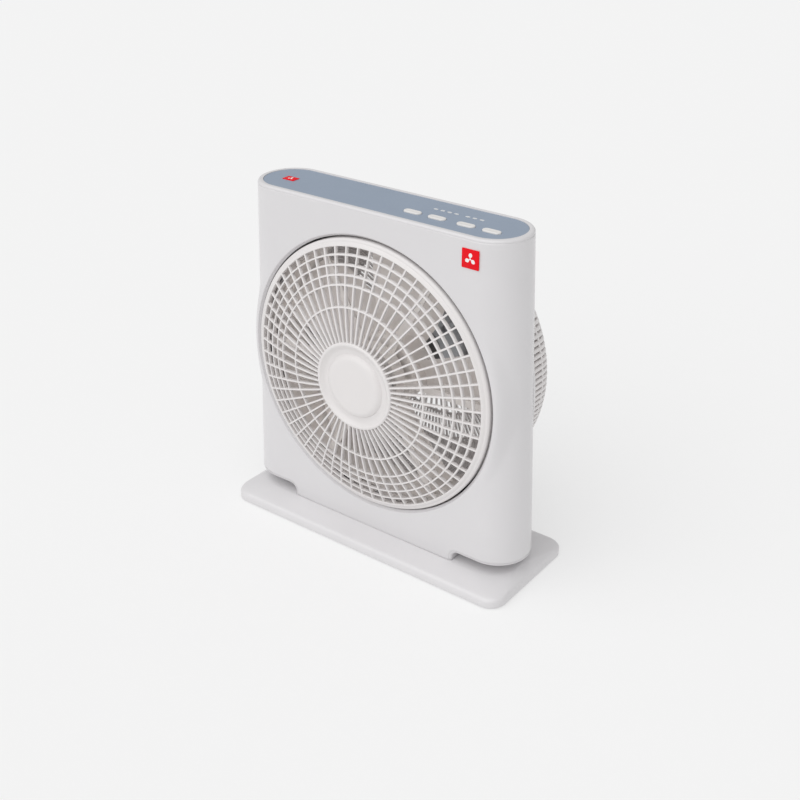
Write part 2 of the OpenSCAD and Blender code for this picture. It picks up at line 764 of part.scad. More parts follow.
arm_w = 9;
arm_step = 0.3;
module front_support() color(warm_white) placed() difference() {
  union() {
    axis_tube(support_plate_y, support_plate_y + support_plate_t, 0, support_cup_r);
    axis_tube(support_plate_y, front_ledge_y, support_cup_r - 2.5, support_cup_r);
    axis_tube(support_y, front_ledge_y, duct_in + 0.5, grille_r - 1);
    on_axis(support_y + arm_step) for (i = [0:support_arms - 1]) rotate(i * 360 / support_arms)
      translate([support_cup_r - 1, -arm_w / 2, 0])
        cube([duct_in + 2 - support_cup_r, arm_w, support_t - 2 * arm_step]);
  }
  on_axis(0) for (a = support_screw_angles) rotate(a)
    translate([support_screw_r, 0, support_y - 1]) cylinder(r = screw_r + hole_clear, h = support_t + 2);
  for (sx = [-1, 1]) translate([sx * lug_x, support_plate_y - 1, axis_z]) rotate([-90, 0, 0])
    cylinder(r = screw_r, h = support_plate_t + 2);
}

module support_screws() color(steel) placed() on_axis(support_y) for (a = support_screw_angles)
  rotate(a) translate([support_screw_r, 0, 0]) mirror([0, 0, 1]) screw(support_t + ledge_t);

// ---- duct and fan ----

module duct_ring() color(warm_white) placed() difference() {
  union() {
    axis_tube(front_ledge_y + ledge_t + 0.3, rear_ledge_y - ledge_t, duct_in, duct_in + duct_wall);
    axis_tube(rear_ledge_y - ledge_t - duct_flange_t, rear_ledge_y - ledge_t, duct_in, duct_flange_r);
  }
  lead_notch();
  on_axis(0) for (a = duct_screw_angles) rotate(a)
    translate([guard_screw_r, 0, rear_ledge_y - ledge_t - 4]) cylinder(r = screw_r + hole_clear, h = 5);
}

module duct_screws() color(steel) placed() on_axis(rear_ledge_y - ledge_t - duct_flange_t)
  for (a = duct_screw_angles) rotate(a) translate([guard_screw_r, 0, 0]) mirror([0, 0, 1])
    screw(duct_flange_t + ledge_t, small_head_r);

blade_root = fan_hub_r - 3;
module blade_outline() intersection() {
  translate([blade_root, -blade_w / 2]) square([fan_r, blade_w]);
  union() {
    translate([blade_root, -blade_w / 4]) square([fan_r / 2, blade_w / 2]);
    translate([fan_r - 52, 0]) circle(r = blade_w / 2);
    translate([fan_r - 52, -blade_w / 2]) square([60, blade_w]);
  }
}

module fan_blades() color(warm_white) placed() difference() {
  union() {
    difference() {
      axis_tube(fan_front_y, fan_front_y + fan_hub_l, 0, fan_hub_r);
      axis_tube(fan_front_y + fan_hub_wall, fan_front_y + fan_hub_l + 1, 0, fan_hub_r - fan_hub_wall);
    }
    axis_tube(fan_front_y, fan_front_y + boss_l, 0, fan_boss_r);
    intersection() {
      on_axis(blade_mid_y) for (i = [0:blade_count - 1]) rotate(i * 360 / blade_count)
        rotate([blade_pitch, 0, 0]) translate([0, 0, -blade_t / 2]) linear_extrude(blade_t) blade_outline();
      axis_tube(-body_t, body_t, fan_hub_r - 1, fan_r);
    }
  }
  axis_tube(fan_front_y - 1, fan_front_y + boss_l + 1, 0, shaft_r);
  translate([-pin_l / 2, pin_y, axis_z]) rotate([0, 90, 0]) cylinder(r = pin_r, h = pin_l);
}

module spinner_nut() color(warm_white) placed() difference() {
  turned() {
    translate([0, shaft_front_y - 2]) square([9, fan_front_y - shaft_front_y + 2]);
    translate([0, fan_front_y - 3]) square([14, 3]);
  }
  axis_tube(shaft_front_y, fan_front_y + 1, 0, shaft_r);
}

module motor_shaft() color(steel) placed() difference() {
  axis_tube(shaft_front_y, shaft_back_y, 0, shaft_r);
  translate([-pin_l / 2, pin_y, axis_z]) rotate([0, 90, 0]) cylinder(r = pin_r, h = pin_l);
}

module drive_pin() color(steel) placed()
  translate([-pin_l / 2, pin_y, axis_z]) rotate([0, 90, 0]) cylinder(r = pin_r, h = pin_l);

module rotor_core() color(steel) placed()
  axis_tube(stator_mid_y - stator_l / 2 - 2, stator_mid_y + stator_l / 2 + 2, shaft_r, rotor_r);

// ---- main motor ----

module stator_core() color(steel) placed()
  axis_tube(stator_mid_y - stator_l / 2, stator_mid_y + stator_l / 2, rotor_r + air_gap, stator_r);

winding_in = rotor_r + 3;
winding_out = stator_r - 4;
winding_l = 8;
module stator_windings() color(copper) placed() for (side = [-1, 1])
  on_axis(stator_mid_y + side * (stator_l / 2 + winding_l / 2)) difference() {
    cylinder(r = winding_out, h = winding_l, center = true);
    cylinder(r = winding_in, h = winding_l + 2, center = true);
  }

module bearing(y) color(copper) placed() axis_tube(y, y + bearing_l, shaft_r + shaft_clear, bearing_r);
front_bearing_y = motor_front_y + 1;
rear_bearing_y = motor_back_y - housing_wall - bearing_l;
module front_bearing() bearing(front_bearing_y);
module rear_bearing() bearing(rear_bearing_y);

housing_lug_r = motor_r + 3;
housing_bolts = [for (i = [0:3]) 45 + i * 90];
module housing(y_end, y_open) difference() {
  union() {
    axis_tube(min(y_end, y_open), max(y_end, y_open), 0, motor_r);
    on_axis(0) for (a = housing_bolts) rotate(a) translate([housing_lug_r, 0, stator_mid_y])
      mirror([0, 0, y_end > y_open ? 0 : 1]) cylinder(r = 4.2, h = 6);
  }
  axis_tube(y_end > y_open ? y_open - 1 : y_end + housing_wall,
            y_end > y_open ? y_end - housing_wall : y_open + 1, 0, stator_r);
  on_axis(0) for (a = housing_bolts) rotate(a) translate([housing_lug_r, 0, stator_mid_y - 10])
    cylinder(r = screw_r, h = 20);
}

module motor_front_housing() color(steel) placed() difference() {
  union() {
    housing(motor_front_y, stator_mid_y);
    axis_tube(motor_front_y, front_bearing_y + bearing_l, 0, bearing_r + 3);
  }
  axis_tube(motor_front_y - 1, front_bearing_y + bearing_l + 1, 0, shaft_r + 1);
  axis_tube(front_bearing_y, front_bearing_y + bearing_l + 1, 0, bearing_r);
}

module motor_rear_housing() color(steel) placed() difference() {
  union() {
    housing(motor_back_y, stator_mid_y);
    axis_tube(rear_bearing_y, motor_back_y, 0, bearing_r + 3);
  }
  axis_tube(rear_bearing_y - 1, rear_bearing_y + bearing_l, 0, bearing_r);
  on_axis(0) for (a = motor_screw_angles) rotate(a)
    translate([motor_screw_r, 0, motor_back_y - housing_wall - 1])
      cylinder(r = screw_r, h = housing_wall + 2);
}

module housing_screws() color(steel) placed() on_axis(stator_mid_y + 6) for (a = housing_bolts)
  rotate(a) translate([housing_lug_r, 0, 0]) screw(12, small_head_r);

// ---- rear guard ----

motor_screw_r = 30;
motor_screw_angles = [for (i = [0:3]) i * 90];
guard_flat_r = guard_r - guard_round;
guard_corner_y = guard_back_y - guard_round;
guard_rings = [96, 74];
guard_ring_t = 3;

// Section of the bowl as (radius, depth)
module bowl_form(inset) {
  translate([0, rear_ledge_y]) square([guard_r - inset, guard_corner_y - rear_ledge_y]);
  translate([0, rear_ledge_y]) square([guard_flat_r, guard_back_y - inset - rear_ledge_y]);
  translate([guard_flat_r, guard_corner_y]) circle(r = guard_round - inset);
}

module rear_guard() color(white) placed() difference() {
  union() {
    intersection() {
      turned() difference() {
        bowl_form(0);
        translate([0, -tiny]) bowl_form(guard_t);
      }
      on_axis(rear_ledge_y) for (i = [0:guard_ribs - 1]) rotate(i * 360 / guard_ribs)
        translate([guard_plate_r - 1, -guard_rib_w / 2, 0])
          cube([guard_r - guard_plate_r + 2, guard_rib_w, 2 * guard_out]);
    }
    axis_tube(rear_ledge_y, rear_ledge_y + guard_ring_t, duct_in + 0.5, guard_r);
    axis_tube(guard_corner_y - 2, guard_corner_y + 1, guard_r - guard_t + 0.3, guard_r - 0.3);
    for (r = concat([guard_flat_r - 2], guard_rings))
      axis_tube(guard_back_y - guard_t + 0.3, guard_back_y - 0.3, r, r + 2.4);
    axis_tube(guard_back_y - guard_t, guard_back_y, 0, guard_plate_r);
  }
  lead_notch();
  on_axis(0) {
    for (a = guard_screw_angles) rotate(a)
      translate([guard_screw_r, 0, rear_ledge_y - 1]) cylinder(r = screw_r + hole_clear, h = 5);
    for (a = motor_screw_angles) rotate(a)
      translate([motor_screw_r, 0, guard_back_y - guard_t - 1])
        cylinder(r = screw_r + hole_clear, h = guard_t + 2);
  }
}

module guard_screws() color(steel) placed() on_axis(rear_ledge_y + guard_ring_t) for (a = guard_screw_angles)
  rotate(a) translate([guard_screw_r, 0, 0]) screw(guard_ring_t + ledge_t, small_head_r);

module motor_screws() color(steel) placed() on_axis(guard_back_y) for (a = motor_screw_angles)
  rotate(a) translate([motor_screw_r, 0, 0]) screw(guard_t + housing_wall + 2);

// Lead from the motor: up inside the guard, forward over the duct, then up to the tray
lead_r = 2;
lead_clear = 0.2;
lead_y = motor_back_y - lead_r - lead_clear;
lead_bend_r = guard_round - guard_t - lead_clear - lead_r;
lead_run_z = axis_z + guard_flat_r + lead_bend_r;
lead_turn_r = 4;
lead_turn_y = rear_ledge_y - 9;
lead_end_y = lead_turn_y - lead_turn_r;

lead_sides = 8;
lead_steps = 8;

// Across the lead, in the plane of its route, when it has turned forward by the angle a
function lead_side(a) = [0, cos(a), sin(a)];

// The lead's rings, each as [middle, angle]
lead_rings = concat(
  [[[0, lead_y, axis_z + motor_r + 0.1], 0]],
  [for (i = [0:lead_steps]) let (a = 90 * i / lead_steps)
    [[0, guard_corner_y, axis_z + guard_flat_r] + lead_bend_r * lead_side(a), a]],
  [for (i = [0:lead_steps]) let (a = 90 - 90 * i / lead_steps)
    [[0, lead_turn_y, lead_run_z + lead_turn_r] - lead_turn_r * lead_side(a), a]],
  [[[0, lead_end_y, tray_top_z - tray_t], 0]]
);

module motor_lead() color(rubber) placed() polyhedron(
  points = [for (ring = lead_rings, k = [0:lead_sides - 1]) let (b = 360 * k / lead_sides)
    ring[0] + lead_r * (cos(b) * [1, 0, 0] + sin(b) * lead_side(ring[1]))],
  faces = concat(
    [[for (k = [0:lead_sides - 1]) k]],
    [for (i = [0:len(lead_rings) - 2], k = [0:lead_sides - 1]) let (n = (k + 1) % lead_sides)
      [i * lead_sides + k, (i + 1) * lead_sides + k, (i + 1) * lead_sides + n, i * lead_sides + n]],
    [[for (k = [0:lead_sides - 1]) len(lead_rings) * lead_sides - 1 - k]]
  )
);

// The notch that the lead passes through, in the rings round the fan
module lead_notch() translate([0, lead_turn_y, lead_run_z]) rotate([-90, 0, 0])
  cylinder(r = lead_r + 0.4, h = guard_corner_y - lead_turn_y);

base_plate();
rubber_feet();
base_screws();
front_shell();
rear_shell();
shell_screws();
cord_gland();
top_panel();
front_emblem();
top_emblem();
louvre_button();
timer_button();
speed_button();
power_button();
louvre_plunger();
timer_plunger();
speed_plunger();
power_plunger();
switch_bodies();
timer_lights();
speed_lights();
light_emitters();
control_board();
control_chip();
power_triacs();
run_capacitor();
board_tray();
tray_screws();
board_screws();
louvre_grille();
hub_cap();
louvre_shaft();
louvre_motor();
louvre_motor_screws();
front_support();
support_screws();
duct_ring();
duct_screws();
fan_blades();
spinner_nut();
motor_shaft();
rotor_core();
drive_pin();
stator_core();
stator_windings();
front_bearing();
rear_bearing();
motor_front_housing();
motor_rear_housing();
housing_screws();
rear_guard();
guard_screws();
motor_screws();
motor_lead();
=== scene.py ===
import json
import math

import bpy
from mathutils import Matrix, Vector


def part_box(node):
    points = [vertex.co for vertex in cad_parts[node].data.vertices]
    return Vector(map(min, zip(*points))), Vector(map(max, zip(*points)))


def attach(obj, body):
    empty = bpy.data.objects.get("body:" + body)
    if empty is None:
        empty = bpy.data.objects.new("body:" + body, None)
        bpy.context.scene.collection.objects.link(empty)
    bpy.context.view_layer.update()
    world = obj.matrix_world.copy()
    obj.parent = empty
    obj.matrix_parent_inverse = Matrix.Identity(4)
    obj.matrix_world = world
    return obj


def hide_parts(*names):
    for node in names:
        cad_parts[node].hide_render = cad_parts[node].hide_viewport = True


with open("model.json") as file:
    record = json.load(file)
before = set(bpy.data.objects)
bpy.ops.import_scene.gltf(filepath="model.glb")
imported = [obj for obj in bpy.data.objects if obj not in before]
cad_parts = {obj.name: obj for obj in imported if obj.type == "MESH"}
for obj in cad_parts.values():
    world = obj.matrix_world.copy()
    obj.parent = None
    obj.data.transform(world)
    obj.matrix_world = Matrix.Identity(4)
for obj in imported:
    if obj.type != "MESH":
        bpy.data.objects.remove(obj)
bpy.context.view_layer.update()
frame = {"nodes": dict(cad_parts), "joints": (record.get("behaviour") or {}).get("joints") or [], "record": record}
MM = 0.001

# ---- places, from the frame ----

SHELL_LO, SHELL_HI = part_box("front_shell")
REAR_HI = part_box("rear_shell")[1]
BASE_LO, BASE_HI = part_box("base_plate")
GRILLE_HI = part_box("louvre_grille")[1]
CAP_LO, CAP_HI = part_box("hub_cap")
GUARD_LO, GUARD_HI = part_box("rear_guard")
BLADE_LO, BLADE_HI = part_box("fan_blades")
JOINTS = {j["name"]: j for j in frame["joints"]}

AXIS_Z = JOINTS["fan_spin"]["pos_m"][2]
TOP_Z = SHELL_HI.z
SEAT_Z = SHELL_LO.z
BODY_HALF = (REAR_HI.y - SHELL_LO.y) / 2
MID_Y = (REAR_HI.y + SHELL_LO.y) / 2
SPLIT_Y = SHELL_HI.y
FACE_Y = SHELL_LO.y
GUARD_R = GUARD_HI.x
FAN_R = max(BLADE_HI.x, BLADE_HI.z - AXIS_Z, AXIS_Z - BLADE_LO.z)

# Sizes that the boxes don't say
END_GAP = 13 * MM
EDGE_R = 3 * MM
SKIN_WALL = 1.76 * MM
RIM_W = 6 * MM
FILLET = 9 * MM
SKIRT_HALF = 108 * MM
SEAM = 2.1 * MM
GRILLE_R = GRILLE_HI.x - 0.4 * MM
HOLE_R = GRILLE_R + SEAM
BODY_Z = SEAT_Z + END_GAP
LEAN = math.tan(math.radians(2.7))
END_X = SHELL_HI.x - BODY_HALF - LEAN * (AXIS_Z - BODY_Z - EDGE_R)


# ---- materials ----

def new_material(name):
    mat = bpy.data.materials.new(name)
    mat.use_nodes = True
    return mat, mat.node_tree.nodes, mat.node_tree.links, mat.node_tree.nodes["Principled BSDF"]


def object_coords(nodes, links, stretch=(1, 1, 1)):
    coord = nodes.new("ShaderNodeTexCoord")
    mapping = nodes.new("ShaderNodeMapping")
    mapping.inputs["Scale"].default_value = stretch
    links.new(coord.outputs["Object"], mapping.inputs["Vector"])
    return mapping.outputs["Vector"]


def noise(nodes, links, vector, scale, detail=3.0):
    tex = nodes.new("ShaderNodeTexNoise")
    tex.inputs["Scale"].default_value = scale
    tex.inputs["Detail"].default_value = detail
    links.new(vector, tex.inputs["Vector"])
    return tex.outputs["Fac"]


def between(nodes, links, fac, low, high):
    span = nodes.new("ShaderNodeMapRange")
    span.inputs["From Min"].default_value = 0.3
    span.inputs["From Max"].default_value = 0.7
    span.inputs["To Min"].default_value = low
    span.inputs["To Max"].default_value = high
    links.new(fac, span.inputs["Value"])
    return span.outputs["Result"]


def two_tone(nodes, links, fac, dark, light):
    ramp = nodes.new("ShaderNodeValToRGB")
    ramp.color_ramp.elements[0].position = 0.3
    ramp.color_ramp.elements[0].color = (*dark, 1)
    ramp.color_ramp.elements[1].position = 0.7
    ramp.color_ramp.elements[1].color = (*light, 1)
    links.new(fac, ramp.inputs["Fac"])
    return ramp.outputs["Color"]


def bump(nodes, links, height, distance, strength=0.5):
    node = nodes.new("ShaderNodeBump")
    node.inputs["Strength"].default_value = strength
    node.inputs["Distance"].default_value = distance
    links.new(height, node.inputs["Height"])
    return node.outputs["Normal"]


def moulded(name, color, rough, grain=0.002 * MM, grain_scale=420, tone=0.008,
            coat=0.0, spread=0.02, specular=0.5):
    """Moulded plastic: a fine grain, faint flow marks in the colour and uneven gloss."""
    mat, nodes, links, shader = new_material(name)
    coords = object_coords(nodes, links)
    flow = noise(nodes, links, coords, 22, 4)
    dark = [c * (1 - tone) for c in color]
    light = [min(1, c * (1 + tone)) for c in color]
    links.new(two_tone(nodes, links, flow, dark, light), shader.inputs["Base Color"])
    gloss = noise(nodes, links, coords, 60, 2)
    links.new(between(nodes, links, gloss, rough - spread, rough + spread), shader.inputs["Roughness"])
    fine = noise(nodes, links, coords, grain_scale, 2)
    links.new(bump(nodes, links, fine, grain, 0.4), shader.inputs["Normal"])
    shader.inputs["Specular IOR Level"].default_value = specular
    shader.inputs["Coat Weight"].default_value = coat
    shader.inputs["Coat Roughness"].default_value = 0.08
    return mat


def metal(name, color, rough, stretch=(1, 1, 1), scale=700):
    """Ground, turned or pressed metal: streaks in the gloss and a slight tint."""
    mat, nodes, links, shader = new_material(name)
    coords = object_coords(nodes, links, stretch)
    streak = noise(nodes, links, coords, scale, 3)
    dark = [c * 0.86 for c in color]
    links.new(two_tone(nodes, links, streak, dark, color), shader.inputs["Base Color"])
    links.new(between(nodes, links, streak, rough - 0.07, rough + 0.1), shader.inputs["Roughness"])
    links.new(bump(nodes, links, streak, 0.02 * MM), shader.inputs["Normal"])
    shader.inputs["Metallic"].default_value = 1.0
    return mat


def clear_plastic(name, color):
    mat, nodes, links, shader = new_material(name)
    coords = object_coords(nodes, links)
    haze = noise(nodes, links, coords, 500, 2)
    links.new(two_tone(nodes, links, haze, [c * 0.95 for c in color], color), shader.inputs["Base Color"])
    links.new(between(nodes, links, haze, 0.12, 0.22), shader.inputs["Roughness"])
    shader.inputs["Subsurface Weight"].default_value = 0.3
    shader.inputs["Subsurface Radius"].default_value = (0.002, 0.002, 0.002)
    return mat


MATERIALS = {
    "shell_white": moulded("shell_white", (0.70, 0.687, 0.698), 0.30, coat=0.2),
    "grille_white": moulded("grille_white", (0.765, 0.74, 0.735), 0.34),
    "inner_plastic": moulded("inner_plastic", (0.92, 0.875, 0.845), 0.50, tone=0.02),
    "blade_plastic": moulded("blade_plastic", (0.92, 0.87, 0.84), 0.38, tone=0.02),
    "panel_blue": moulded("panel_blue", (0.275, 0.335, 0.425), 0.40, grain=0.01 * MM, tone=0.02),
    "badge_red": moulded("badge_red", (0.80, 0.006, 0.014), 0.5, tone=0.02, specular=0.12),
    "button_white": moulded("button_white", (0.78, 0.765, 0.75), 0.32, tone=0.01),
    "light_lens": clear_plastic("light_lens", (0.70, 0.72, 0.74)),
    "rubber_grey": moulded("rubber_grey", (0.45, 0.45, 0.455), 0.70, grain=0.02 * MM, tone=0.06),
    "lead_rubber": moulded("lead_rubber", (0.66, 0.65, 0.63), 0.55, tone=0.05),
    "screw_steel": metal("screw_steel", (0.62, 0.63, 0.65), 0.30),
    "shaft_steel": metal("shaft_steel", (0.66, 0.67, 0.69), 0.22, (1, 8, 1)),
    "motor_steel": metal("motor_steel", (0.50, 0.51, 0.53), 0.42, scale=260),
    "core_steel": metal("core_steel", (0.32, 0.32, 0.34), 0.45, (0.2, 9, 0.2)),
    "switch_steel": metal("switch_steel", (0.55, 0.56, 0.58), 0.35),
    "copper_wire": metal("copper_wire", (0.62, 0.28, 0.13), 0.35, (1, 6, 1)),
    "bearing_bronze": metal("bearing_bronze", (0.60, 0.42, 0.24), 0.40),
    "board_green": moulded("board_green", (0.03, 0.19, 0.09), 0.40, tone=0.12),
    "chip_black": moulded("chip_black", (0.025, 0.025, 0.03), 0.55, tone=0.1),
    "capacitor_film": moulded("capacitor_film", (0.70, 0.69, 0.64), 0.45, tone=0.05),
    "emitter_yellow": moulded("emitter_yellow", (0.80, 0.72, 0.35), 0.35, tone=0.05),
    "icon_white": moulded("icon_white", (0.88, 0.87, 0.86), 0.35, tone=0.01),
    "floor": moulded("floor", (0.46, 0.46, 0.46), 0.9, grain=0.0, tone=0.002, specular=0.0),
}
FLOOR_GLOW = MATERIALS["floor"].node_tree.nodes["Principled BSDF"].inputs
FLOOR_GLOW["Emission Color"].default_value = (1, 1, 1, 1)
FLOOR_GLOW["Emission Strength"].default_value = 0.46
SLOT_OF = {s["node"]: s["material_slot"] for s in frame["record"]["subparts"]}


def dress_cad_nodes():
    """Gives each CAD node its own slot's material."""
    for name, node in frame["nodes"].items():
        node.data.materials.clear()
        node.data.materials.append(MATERIALS[SLOT_OF[name]])
        for polygon in node.data.polygons:
            polygon.material_index = 0
            polygon.use_smooth = True
        node.data.set_sharp_from_angle(angle=math.radians(25))


# ---- mesh helpers ----

def piece(name, verts, faces, slot, body, sharp=40, replaces=(), material=None):
    """A mesh object in place, with its material, body and slot."""
    mesh = bpy.data.meshes.new(name)
    mesh.from_pydata([tuple(v) for v in verts], [], faces)
    mesh.update()
    mesh.validate()
    mesh.materials.append(MATERIALS[material or slot])
    mesh.shade_smooth()
    mesh.set_sharp_from_angle(angle=math.radians(sharp))
    obj = bpy.data.objects.new(name, mesh)
    bpy.context.scene.collection.objects.link(obj)
    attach(obj, body)
    if replaces:
        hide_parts(*replaces)
    return obj


class Build:
    """Collects grids of points into one mesh."""

    def __init__(self):
        self.verts, self.faces = [], []

    def grid(self, rows, close_u=False, close_v=False, flip=False, cap_first=False, cap_last=False):
        """Quads between rows of points: close_u joins each row's ends, close_v the last row to the first."""
        start, count = len(self.verts), len(rows[0])
        for row in rows:
            self.verts.extend(row)
        last_row = len(rows) if close_v else len(rows) - 1
        last_col = count if close_u else count - 1
        for i in range(last_row):
            for j in range(last_col):
                a = start + i * count + j
                b = start + i * count + (j + 1) % count
                c = start + ((i + 1) % len(rows)) * count + (j + 1) % count
                d = start + ((i + 1) % len(rows)) * count + j
                self.faces.append((d, c, b, a) if flip else (a, b, c, d))
        first = list(range(start, start + count))
        last = list(range(start + (len(rows) - 1) * count, start + len(rows) * count))
        if cap_first:
            self.faces.append(first if flip else first[::-1])
        if cap_last:
            self.faces.append(last[::-1] if flip else last)

    def lathe(self, profile, segments=192, closed=True, flip=False):
        """Turns (radius, y) points round the fan axis. A radius of 0 at an end closes the shape there."""
        body = [p for p in profile if p[0] > 1e-7]
        rows = []
        for i in range(segments):
            a = 2 * math.pi * i / segments
            rows.append([Vector((r * math.cos(a), y, AXIS_Z + r * math.sin(a))) for r, y in body])
        start = len(self.verts)
        self.grid(rows, close_u=closed, close_v=True, flip=not flip)
        for end, index in ((0, 0), (-1, len(body) - 1)):
            if profile[end][0] <= 1e-7:
                self.verts.append(Vector((0, profile[end][1], AXIS_Z)))
                centre = len(self.verts) - 1
                for i in range(segments):
                    a = start + i * len(body) + index
                    b = start + ((i + 1) % segments) * len(body) + index
                    ahead = (index == 0) != flip
                    self.faces.append((centre, b, a) if ahead else (centre, a, b))


def arc(cx, cy, r, start, end, steps):
    """Points on an arc, in degrees, both ends included."""
    found = []
    for i in range(steps + 1):
        a = math.radians(start + (end - start) * i / steps)
        found.append((cx + r * math.cos(a), cy + r * math.sin(a)))
    return found


def rib_section(width, depth, round_r):
    """Closed section of a rib as (across, depth) points: rounded in front, square behind."""
    half = width / 2
    front = arc(half - round_r, round_r, round_r, -90, 0, 3)
    other = [(-x, y) for x, y in front][::-1]
    return front + [(half, depth), (-half, depth)] + other


def sweep_polar(build, section, path, angle):
    """Sweeps a section along (radius, y) points in the half plane at an angle round the fan axis."""
    out = Vector((math.cos(angle), 0, math.sin(angle)))
    across = Vector((-math.sin(angle), 0, math.cos(angle)))
    rows = []
    for i, (r, y) in enumerate(path):
        before, after = path[max(i - 1, 0)], path[min(i + 1, len(path) - 1)]
        along = Vector((after[0] - before[0], after[1] - before[1])).normalized()
        inward = Vector((-along.y, along.x))
        rows.append([
            out * (r + inward.x * d) + across * w + Vector((0, y + inward.y * d, AXIS_Z))
            for w, d in section
        ])
    build.grid(rows, close_u=True, cap_first=True, cap_last=True)


# ---- body shells ----

def end_at(z):
    """Where the flat front ends and the rounded end starts, at a height: the sides lean."""
    return END_X - LEAN * (z - AXIS_Z)


U_EDGE = BODY_HALF * math.acos(-(SPLIT_Y - MID_Y) / BODY_HALF)
U_END = {-1: END_X + U_EDGE, 1: END_X + math.pi * BODY_HALF - U_EDGE}


def outline(u, inset, z, side):
    """A point on the body: u runs along the outline from the middle of the front (side -1) or back (1)."""
    r = BODY_HALF - inset
    if abs(u) <= END_X:
        return Vector((u * end_at(z) / END_X, MID_Y + side * r, z))
    phi = (abs(u) - END_X) / BODY_HALF
    x = end_at(z) + r * math.sin(phi)
    return Vector((math.copysign(x, u), MID_Y + side * r * math.cos(phi), z))


def along_outline(x, z):
    """The distance along the outline of the point at x."""
    flat = end_at(z)
    if abs(x) <= flat:
        return x * END_X / flat
    return math.copysign(END_X + BODY_HALF * math.asin((abs(x) - flat) / BODY_HALF), x)


def smooth(t):
    t = min(max(t, 0), 1)
    return t * t * (3 - 2 * t)


def lower_edge(u_end, step=3 * MM):
    """Right half of the shell's lower edge as (u, z, outward direction), from the skirt's foot to the end."""
    turn = (SKIRT_HALF + FILLET, BODY_Z - FILLET)
    path = [(SKIRT_HALF - EDGE_R, SEAT_Z, 1, 0)]
    for i in range(13):
        a = math.radians(180 - 90 * i / 12)
        c, d = math.cos(a), math.sin(a)
        path.append((turn[0] + (FILLET + EDGE_R) * c, turn[1] + (FILLET + EDGE_R) * d, -c, -d))
    n = round((u_end - turn[0]) / step)
    path += [(turn[0] + (u_end - turn[0]) * i / n, BODY_Z + EDGE_R, 0, -1) for i in range(1, n + 1)]
    return path


def border_points(u_end, high, step=3 * MM):
    """Points round the unrolled shell, anticlockwise from the middle of its foot."""
    def line(a, b):
        n = max(1, round(math.hypot(b[0] - a[0], b[1] - a[1]) / step))
        return [(a[0] + (b[0] - a[0]) * i / n, a[1] + (b[1] - a[1]) * i / n) for i in range(n)]

    right = [(u, z) for u, z, _, _ in lower_edge(u_end, step)]
    half = line((0, SEAT_Z), right[0]) + right[:-1]
    half += line(right[-1], (u_end, high)) + line((u_end, high), (0, high))
    left = [(-u, z) for u, z in half[1:]][::-1]
    return half + [(0, high)] + left


def shell_skin(name, side, node):
    """One half of the body: the face with its round hole, the top rim and the lower edge."""
    build = Build()
    flip = side > 0
    u_end, high = U_END[side], TOP_Z - EDGE_R
    face_y = MID_Y + side * BODY_HALF
    lip = 0.6 * MM
    bevel, throat_depth = (2.2 * MM, 21 * MM) if side < 0 else (0.4 * MM, 8.5 * MM)
    rim_r = HOLE_R + bevel + lip
    blend = 15 * MM
    rows_n = 30
    rows = []
    for i in range(rows_n + 1):
        s = (i / rows_n) ** 1.15
        row = []
        for u1, z1 in border_points(u_end, high):
            a = math.atan2(z1 - AXIS_Z, u1)
            z0 = AXIS_Z + rim_r * math.sin(a)
            u0 = along_outline(rim_r * math.cos(a), z0)
            p = outline(u0 + (u1 - u0) * s, 0, z0 + (z1 - z0) * s, side)
            out = math.hypot(p.x, p.z - AXIS_Z) - rim_r
            p.y = face_y + (p.y - face_y) * max(smooth(out / blend), s * s)
            row.append(p)
        rows.append(row)
    inner = []
    for t in (90, 60, 30, 0):
        d = lip * math.sin(math.radians(t))
        y = face_y - side * (lip - lip * math.cos(math.radians(t)))
        inner.append([Vector((p.x * (rim_r - d) / rim_r, y, AXIS_Z + (p.z - AXIS_Z) * (rim_r - d) / rim_r))
                      for p in rows[0]])
    depth = face_y - side * throat_depth
    edge = inner[0]
    shrink = HOLE_R / (HOLE_R + bevel)
    throat = [Vector((p.x * shrink, p.y - side * 2.4 * MM, AXIS_Z + (p.z - AXIS_Z) * shrink)) for p in edge]
    wall = [Vector((p.x, depth, p.z)) for p in throat]
    build.grid([wall, throat] + inner[:-1] + rows, close_u=True, flip=not flip)

    steps = [u_end * (2 * i / 220 - 1) for i in range(221)]
    top = [(EDGE_R - x, z) for x, z in arc(0, TOP_Z - EDGE_R, EDGE_R, 0, 90, 7)]
    soft = 0.5 * MM
    top += [(RIM_W - soft, TOP_Z), (RIM_W - 0.15 * MM, TOP_Z - 0.15 * MM), (RIM_W, TOP_Z - soft)]
    top += [(RIM_W, TOP_Z - 3 * MM)]
    build.grid([[outline(u, inset, z, side) for u in steps] for inset, z in top], flip=flip)

    turns = [math.radians(a) for a in range(0, 91, 13)]
    turn = [(EDGE_R * math.sin(a), EDGE_R - EDGE_R * math.cos(a)) for a in turns]
    turn.append((EDGE_R, BODY_HALF - 0.05 * MM))
    for mirror in (1, -1):
        strip = [[outline(mirror * (u + nu * d), inset, z + nz * d, side)
                  for u, z, nu, nz in lower_edge(u_end)] for d, inset in turn]
        build.grid(strip, flip=(mirror > 0) != flip)
    skin = piece(name, build.verts, build.faces, "shell_white", "housing", sharp=38,
                 replaces=[node])
    solid = skin.modifiers.new("wall", "SOLIDIFY")
    solid.thickness = SKIN_WALL
    solid.offset = -1


# ---- stand ----

